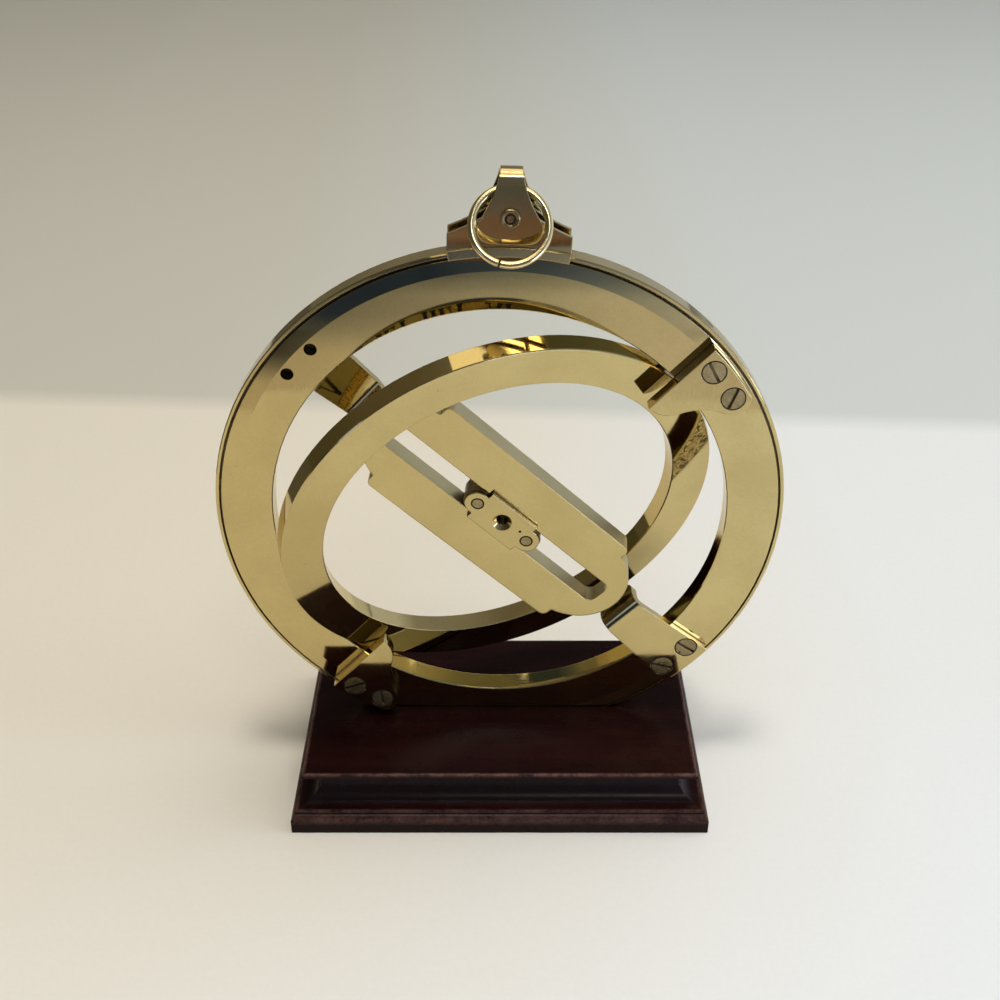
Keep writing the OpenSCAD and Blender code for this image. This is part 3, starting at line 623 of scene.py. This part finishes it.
# Scrollwork beside the latitude scale: a band of large and small curls with pointed leaves.
SCROLL_R = 44.6
SCROLL_EDGES = (SCROLL_R - 3.9, SCROLL_R + 3.8)
SCROLL_EDGE_W = 0.12
SCROLL_TURNS = (math.radians(150), math.radians(212))
SCROLL_CURLS = 11
SCROLL_W = 0.3
LARGE_CURL = 2.05
LARGE_OFF = 1.25
SMALL_CURL = 1.0
SMALL_OFF = -2.3
CURL_STEPS = 40
CURL_TURN = 3.6 * math.pi
CURL_CLOSES = 0.85
CURL_THINS = 0.6
LEAVES = 5
LEAF_FIRST = 0.3
LEAF_STEP = 1.25
LEAF_REACH = 1.45
LEAF_LEAN = 0.3
LEAF_HALF_W = 0.2


def curl(mid, side, size):
    """A spiral of nearly two turns, thinner towards its inner end, with pointed leaves outside it."""
    points = []
    for i in range(CURL_STEPS + 1):
        t = i / CURL_STEPS
        points.append(arc_point(size * (1 - CURL_CLOSES * t), mid + side * (math.pi / 2 + CURL_TURN * t)))
    quads = [bar(a, b, SCROLL_W * (1 - CURL_THINS * i / CURL_STEPS))
             for i, (a, b) in enumerate(zip(points, points[1:]))]
    for k in range(LEAVES):
        root = mid + side * (LEAF_FIRST + LEAF_STEP * k)
        tip = arc_point(LEAF_REACH * size, root + LEAF_LEAN)
        quads += [bar(arc_point(size, root + half), tip, SCROLL_W) for half in (-LEAF_HALF_W, LEAF_HALF_W)]
    return quads


scrolls = [quad for r in SCROLL_EDGES for quad in circle(r, SCROLL_EDGE_W, *SCROLL_TURNS)]
for k in range(SCROLL_CURLS):
    turn = SCROLL_TURNS[0] + (SCROLL_TURNS[1] - SCROLL_TURNS[0]) * (k + 0.5) / SCROLL_CURLS
    side = 1 if k % 2 else -1
    for offset, size in ((LARGE_OFF, LARGE_CURL), (SMALL_OFF, SMALL_CURL)):
        scrolls += shifted(curl(turn, side, size), arc_point(SCROLL_R + offset * side, turn))
stroke_piece("back_scrollwork", scrolls, BACK_CENTRE, BACK_RIGHT, UP, "dial")


def seams(places, r, width):
    """Dark rings round heads at the given places: painted shade in the gaps, and grime."""
    return [quad for place in places for quad in shifted(circle(r, width, step=SHADE_RING_STEP), place)]


def dots(places, r, sides=12):
    """Small round punch marks."""
    outline = [arc_point(r, FULL_TURN * i / sides) for i in range(sides)]
    return [quad for place in places for quad in shifted([outline], place)]


# Painted shade and grime in the gaps round the heads, and punch marks on the front bracket and the sight.
SHADE_RING_R = HEAD_R + 0.08
SHADE_RING_W = 0.2
RIVET_SHADE_RING_R = RIVET_R + 0.06
RIVET_SHADE_RING_W = 0.27
PIN_SHADE_RING_R = 0.72
PIN_SHADE_RING_W = 0.3
BRACKET_PUNCHES = ((0, -45), (1.45, -45.1))
BRACKET_PUNCH_R = 0.22
SIGHT_PUNCHES = ((0.8, -3.6),)
SIGHT_PUNCH_R = 0.25
stop_screws = [(side * u, v) for side in (1, -1) for u, v in STOP_SCREWS]
front_screws = [(u, -v) for u, v in CRANK_SCREWS]
bracket_shade_and_punches = seams(front_screws, SHADE_RING_R, SHADE_RING_W) + dots(BRACKET_PUNCHES, BRACKET_PUNCH_R)
rivet_shade_rings = seams(RIVETS, RIVET_SHADE_RING_R, RIVET_SHADE_RING_W)
sight_shade_and_punches = rivet_shade_rings + dots(SIGHT_PUNCHES, SIGHT_PUNCH_R)
sight_middle = CENTRE + V * CURSOR_AT
pin_middle = CENTRE + SADDLE_UP * LUG_R + FRONT * PIN_FACE
stroke_piece("stop_screw_shade_rings", seams(stop_screws, SHADE_RING_R, SHADE_RING_W),
             CENTRE + FRONT * STOP_FRONT, U, V, "dial")
stroke_piece("bracket_shade_and_punches_front", bracket_shade_and_punches, CENTRE + FRONT * CRANK_FRONT, U, V, "dial")
stroke_piece("bracket_shade_rings_rear", seams(CRANK_SCREWS, SHADE_RING_R, SHADE_RING_W),
             CENTRE - FRONT * CRANK_FRONT, -U, V, "dial")
stroke_piece("cursor_shade_and_punches_front", sight_shade_and_punches, sight_middle + BRIDGE_FRONT * CURSOR_FRONT,
             BRIDGE_U, V, "cursor")
stroke_piece("cursor_shade_rings_back", rivet_shade_rings, sight_middle - BRIDGE_FRONT * CURSOR_FRONT,
             -BRIDGE_U, V, "cursor")
stroke_piece("shackle_pin_shade_ring", seams([(0, 0)], PIN_SHADE_RING_R, PIN_SHADE_RING_W), pin_middle,
             SADDLE_RIGHT, SADDLE_UP, "shackle")

# The calendar: the sight stands as far from the middle as the sun's declination asks on that day. Days are
# counted as degrees of the sun's yearly path from midsummer to midwinter.
SUN_TILT = math.radians(23.44)
CALENDAR_LINES = (SLOT_HALF_W + 0.9, SLOT_HALF_W + 4.3)
CALENDAR_HALF = 15.2
HALF_YEAR = 180
DAY_STEP = 5
MONTH_TICK = 3.4
TEN_DAY_TICK = 1.9
FIVE_DAY_TICK = 1.1
calendar = []
for side in (-1, 1):
    calendar += [bar((side * x, -CALENDAR_HALF), (side * x, CALENDAR_HALF), LINE_W) for x in CALENDAR_LINES]
    for day in range(0, HALF_YEAR + 1, DAY_STEP):
        height = HOUR_R[0] * math.tan(SUN_TILT * math.cos(math.radians(day)))
        long = MONTH_TICK if day % 30 == 0 else TEN_DAY_TICK if day % 10 == 0 else FIVE_DAY_TICK
        start = CALENDAR_LINES[0]
        calendar.append(bar((side * start, height), (side * (start + long), height), LINE_W))
stroke_piece("calendar_scale", calendar, CENTRE - BRIDGE_FRONT * BRIDGE_HALF_T, -BRIDGE_U, V, "bridge")

# The camera, as fitted to the photograph. From here on sizes are in metres.
SENSOR_MM = 36.0
LENS_MM = 45.4
CAMERA_AT = (0.00005, -0.1873, 0.18175)
CAMERA_TILT = math.radians(56.86)
CAMERA_CLIP = 0.01
cam_data = bpy.data.cameras.new("camera")
cam = bpy.data.objects.new("camera", cam_data)
scene.collection.objects.link(cam)
cam_data.sensor_width = SENSOR_MM
cam_data.lens = LENS_MM
cam_data.clip_start = CAMERA_CLIP
cam.location = CAMERA_AT
cam.rotation_euler = (CAMERA_TILT, 0, 0)
scene.camera = cam


def sheet(name, corners):
    """A flat piece of the stage."""
    mesh = bpy.data.meshes.new(name)
    mesh.from_pydata(corners, [], [(0, 1, 2, 3)])
    obj = bpy.data.objects.new(name, mesh)
    scene.collection.objects.link(obj)
    return obj


def level(low, high, z):
    """Corners of a lying rectangle, from two points of the plan."""
    return [(low[0], low[1], z), (high[0], low[1], z), (high[0], high[1], z), (low[0], high[1], z)]


def upright(start, end, low, high):
    """Corners of a standing rectangle over a line of the plan."""
    return [(*start, low), (*end, low), (*end, high), (*start, high)]


# The floor's colours, on the left and on the right, and the places between which they change. The left's colours
# are painted darker and warmer, as shade.
REACH = 3.0
FLOOR_FRONT = ((0.785, 0.72, 0.615), (0.785, 0.79, 0.785))
FLOOR_MIDDLE = ((0.735, 0.655, 0.52), (0.755, 0.745, 0.715))
FLOOR_FAR = ((0.545, 0.505, 0.405), (0.59, 0.6, 0.555))
FLOOR_ACROSS = (-0.09, 0.09)
MIDDLE_ACROSS = (-0.03, 0.09)
FRONT_ALONG = (0.02, -0.07)
FAR_ALONG = (0.134, 0.144)
FAR_SLOPE = -0.06
TOOTH = {"scale": 900.0, "detail": 4.0, "rough": 0.7}
TOOTH_SPAN = (0.3, 0.7, 0.985, 1.015)
FLOOR_ROUGH = 0.65
FLOOR_SHINE = 0.2


def pale_paper():
    """The floor: pale in front, greyer beyond a soft line behind the object, and painted darker and warmer on the
    left as shade.
    """
    mat, g, bsdf = new_material("floor_pale")
    at = g.here()
    x, y, z = g.axes(at)
    # Painted shade: the left of the floor darker and warmer than the right.
    across = g.span(x, *FLOOR_ACROSS)
    middle = g.mix(g.span(x, *MIDDLE_ACROSS), *FLOOR_MIDDLE)
    near = g.mix(g.span(y, *FRONT_ALONG), middle, g.mix(across, *FLOOR_FRONT))
    beyond = g.span(g.minus(y, g.times(x, FAR_SLOPE)), *FAR_ALONG)
    paper = g.mix(beyond, near, g.mix(across, *FLOOR_FAR))
    tooth = g.span(g.noise(at, **TOOTH), *TOOTH_SPAN)
    grey = g.node("CombineColor", {0: tooth, 1: tooth, 2: tooth}).outputs[0]
    g.link(g.mix(1.0, paper, grey, "MULTIPLY"), bsdf.inputs["Base Color"])
    g.link(FLOOR_ROUGH, bsdf.inputs["Roughness"])
    g.link(FLOOR_SHINE, bsdf.inputs["Specular IOR Level"])
    return mat


floor = sheet("floor", level((-REACH, -REACH), (REACH, REACH), 0))
floor.data.materials.append(pale_paper())


def mirror_only(obj):
    """Shows a stage object in polished metal and nowhere else."""
    obj.visible_camera = False
    obj.visible_diffuse = False
    obj.visible_transmission = False
    obj.visible_shadow = False


def glow(g, bsdf, colour):
    """Makes a shader give off the colour and reflect nothing."""
    g.link((0.0, 0.0, 0.0, 1), bsdf.inputs["Base Color"])
    g.link(0.0, bsdf.inputs["Specular IOR Level"])
    g.link(1.0, bsdf.inputs["Emission Strength"])
    g.link(colour, bsdf.inputs["Emission Color"])


ALONG_Y = 1
ALONG_Z = 2


def card(name, corners, axis, along, stops, right_stops=None, across=None):
    """A glowing sheet that only mirrors show, with colours in steps along an axis.
    With right_stops, these colours take over from the left to the right of across."""
    obj = sheet(name, corners)
    mat, g, bsdf = new_material("glow_" + name)
    place = g.axes(g.here())
    step = g.span(place[axis], *along)
    colour = g.ramp(step, stops)
    if right_stops:
        colour = g.mix(g.span(place[0], *across), colour, g.ramp(step, right_stops))
    glow(g, bsdf, colour)
    obj.data.materials.append(mat)
    mirror_only(obj)


# The foreground and a dark cloth behind it, which the meridian ring mirrors.
LOW = 0.0005
CLOTH_Y = -0.24
CLOTH_H = 0.07
CARD_HALF_W = 0.4
FOREGROUND_Y = -0.155
FOREGROUND_LEFT = [(0.0, (0.62, 0.545, 0.465)), (0.3, (0.58, 0.51, 0.43)), (0.5, (0.2, 0.19, 0.18)),
                   (0.65, (0.06, 0.06, 0.06)), (1.0, (0.05, 0.052, 0.055))]
FOREGROUND_RIGHT = [(0.0, (0.74, 0.72, 0.72)), (0.25, (0.68, 0.65, 0.65)), (0.84, (0.66, 0.65, 0.68)),
                    (0.92, (0.42, 0.43, 0.47)), (1.0, (0.38, 0.41, 0.46))]
FOREGROUND_ACROSS = (-0.095, 0.04)
CLOTH_LEFT = [(0.0, (0.10, 0.11, 0.13)), (0.12, (0.026, 0.04, 0.085)), (0.6, (0.02, 0.036, 0.085)),
              (1.0, (0.04, 0.05, 0.07))]
CLOTH_RIGHT = [(0.0, (0.55, 0.57, 0.65)), (0.22, (0.5, 0.54, 0.66)), (0.36, (0.2, 0.26, 0.42)),
               (0.55, (0.06, 0.1, 0.24)), (1.0, (0.045, 0.075, 0.16))]
CLOTH_ACROSS = (-0.03, 0.085)
card("foreground", level((-CARD_HALF_W, CLOTH_Y), (CARD_HALF_W, FOREGROUND_Y), LOW), ALONG_Y,
     (FOREGROUND_Y, CLOTH_Y), FOREGROUND_LEFT, FOREGROUND_RIGHT, FOREGROUND_ACROSS)
card("dark_cloth", upright((-CARD_HALF_W, CLOTH_Y), (CARD_HALF_W, CLOTH_Y), 0, CLOTH_H), ALONG_Z,
     (0.0, CLOTH_H), CLOTH_LEFT, CLOTH_RIGHT, CLOTH_ACROSS)

# A brown card in front of the shackle, and a bright one over it.
SHACKLE_CARD_Y = -0.027
SHACKLE_CARD_X = (-0.016, 0.019)
SHACKLE_CARD_Z = (0.0978, 0.122)
SHACKLE_CARD = [(0.0, (0.1, 0.062, 0.045)), (0.033, (0.11, 0.068, 0.05)), (0.083, (0.22, 0.142, 0.115)),
                (0.145, (0.185, 0.12, 0.095)), (0.33, (0.165, 0.105, 0.09)), (0.48, (0.18, 0.12, 0.115)),
                (0.62, (0.15, 0.12, 0.12)), (0.8, (0.1, 0.105, 0.115)), (1.0, (0.12, 0.125, 0.13))]
OVERHEAD_X = (-0.05, 0.055)
OVERHEAD_Y = (-0.06, 0.05)
OVERHEAD_Z = 0.21
OVERHEAD = [(0.0, (0.8, 0.7, 0.48)), (0.4, (1.35, 1.18, 0.85))]
shackle_corners = upright(*((x, SHACKLE_CARD_Y) for x in SHACKLE_CARD_X), *SHACKLE_CARD_Z)
card("near_shackle", shackle_corners, ALONG_Z, SHACKLE_CARD_Z, SHACKLE_CARD)
card("above_shackle", level(*zip(OVERHEAD_X, OVERHEAD_Y), OVERHEAD_Z), ALONG_Y, OVERHEAD_Y, OVERHEAD)

# Two windows, and the dark left side of the room's floor.
SKY_FROM = (-0.94, -0.765)
SKY_TO = (-0.56, -1.075)
SKY_Z = (0.0, 0.3)
SKY = [(0.0, (0.5, 0.62, 1.05)), (1.0, (0.55, 0.68, 1.15))]
PANE_FROM = (0.11, -0.235)
PANE_TO = (0.4, -0.235)
PANE_Z = (0.012, 0.06)
PANE = [(0.0, (5.0, 5.8, 9.0)), (1.0, (6.0, 7.0, 11.0))]
DARK_TO = -0.2
DARK_ALONG = (-1.0, 1.0)
DARK_SIDE = [(0.0, (0.12, 0.11, 0.08)), (1.0, (0.1, 0.09, 0.06))]
card("left_window", upright(SKY_FROM, SKY_TO, *SKY_Z), ALONG_Z, SKY_Z, SKY)
card("low_window", upright(PANE_FROM, PANE_TO, *PANE_Z), ALONG_Z, PANE_Z, PANE)
card("dark_side", level((-REACH, -REACH), (DARK_TO, REACH), LOW), ALONG_Y, DARK_ALONG, DARK_SIDE)

# Lamps: place, width and depth, brightness as a mirror shows it, colour, and whether metal shows it.
AIM = Vector((0, 0, 0.05))
LAMPS = {
    "ceiling": ((-0.02, -0.1, 1.3), (0.2, 0.2), 52.0, (1.0, 0.98, 0.95), True),
    "ceiling_front": ((0.16, -0.66, 1.05), (0.3, 0.2), 7.0, (1.0, 0.96, 0.88), True),
    "window_right": ((0.85, 0.02, 0.5), (0.6, 0.5), 3.2, (0.84, 0.95, 1.0), False),
    "soft_top": ((0.2, 0.05, 1.1), (1.2, 1.2), 1.05, (0.98, 0.99, 1.0), False),
}
for name, (place, (wide, deep), radiance, colour, shown) in LAMPS.items():
    lamp = bpy.data.lights.new(name, "AREA")
    lamp.shape = "RECTANGLE"
    lamp.size = wide
    lamp.size_y = deep
    lamp.energy = math.pi * wide * deep * radiance
    lamp.color = colour
    obj = bpy.data.objects.new(name, lamp)
    obj.location = place
    obj.rotation_euler = (AIM - Vector(place)).to_track_quat("-Z", "Y").to_euler()
    obj.visible_glossy = shown
    scene.collection.objects.link(obj)

# The room's colours from left to right, and the heights and depths of view between which they change.
BACK_WALL = [(0.0, (0.07, 0.06, 0.03)), (0.25, (0.14, 0.125, 0.08)), (0.38, (0.24, 0.23, 0.2)),
             (0.5, (0.31, 0.31, 0.32)), (0.62, (0.42, 0.44, 0.47)), (0.75, (0.5, 0.54, 0.6)),
             (0.9, (0.72, 0.78, 0.92)), (1.0, (0.7, 0.76, 0.9))]
BACK_CEILING = (0.12, 0.1, 0.07)
BACK_CEILING_SHARE = 0.55
BACK_CEILING_FROM = (0.3, 0.5)
FRONT_WALL = [(0.0, (0.06, 0.05, 0.025)), (0.25, (0.1, 0.085, 0.06)), (0.4, (0.13, 0.12, 0.1)),
              (0.52, (0.34, 0.36, 0.4)), (0.65, (0.6, 0.62, 0.66)), (0.8, (0.85, 0.88, 0.95)),
              (1.0, (0.7, 0.76, 0.9))]
FRONT_CEILING = [(0.0, (0.06, 0.05, 0.03)), (0.45, (0.1, 0.1, 0.1)), (0.7, (0.16, 0.2, 0.25)),
                 (1.0, (0.4, 0.45, 0.55))]
FRONT_TO_BACK = (-0.15, 0.15)
DOME_CEILING_FROM = (0.06, 0.2)
WORLD_CEILING_FROM = (0.2, 0.4)


def room(g, way, front_ceiling_from):
    """The room by direction: dark and warm on the left, windows on the right, darker above."""
    x, y, z = g.axes(way)
    side = g.span(x, -1.0, 1.0)
    high = g.times(g.span(z, *BACK_CEILING_FROM), BACK_CEILING_SHARE)
    back = g.mix(high, g.ramp(side, BACK_WALL), BACK_CEILING)
    front = g.mix(g.span(z, *front_ceiling_from), g.ramp(side, FRONT_WALL), g.ramp(side, FRONT_CEILING))
    return g.mix(g.span(y, *FRONT_TO_BACK), front, back)


# The metal mirrors the room from a dome. The world lights the rest, and is plain and pale to look at.
DOME_R = 2.6
DOME_CUTS = 4
dome_mesh = bpy.data.meshes.new("room_dome")
shape = bmesh.new()
bmesh.ops.create_icosphere(shape, subdivisions=DOME_CUTS, radius=DOME_R)
shape.to_mesh(dome_mesh)
shape.free()
dome = bpy.data.objects.new("room_dome", dome_mesh)
scene.collection.objects.link(dome)
mirror_only(dome)
dome_mat, g, bsdf = new_material("glow_room")
outward = g.node("VectorMath", {0: g.here()}, operation="NORMALIZE").outputs[0]
glow(g, bsdf, room(g, outward, DOME_CEILING_FROM))
dome_mesh.materials.append(dome_mat)

PLAIN = (0.62, 0.61, 0.57)
world = bpy.data.worlds.new("studio")
scene.world = world
world.use_nodes = True
g = Graph(world.node_tree)
ray = g.node("LightPath").outputs
seen = g.most(ray["Is Camera Ray"], g.most(ray["Is Glossy Ray"], ray["Is Transmission Ray"]))
around = room(g, g.node("TexCoord").outputs["Generated"], WORLD_CEILING_FROM)
background = world.node_tree.nodes["Background"]
g.link(g.mix(seen, around, PLAIN), background.inputs[0])
g.link(1.0, background.inputs[1])

scene.view_settings.view_transform = "Standard"
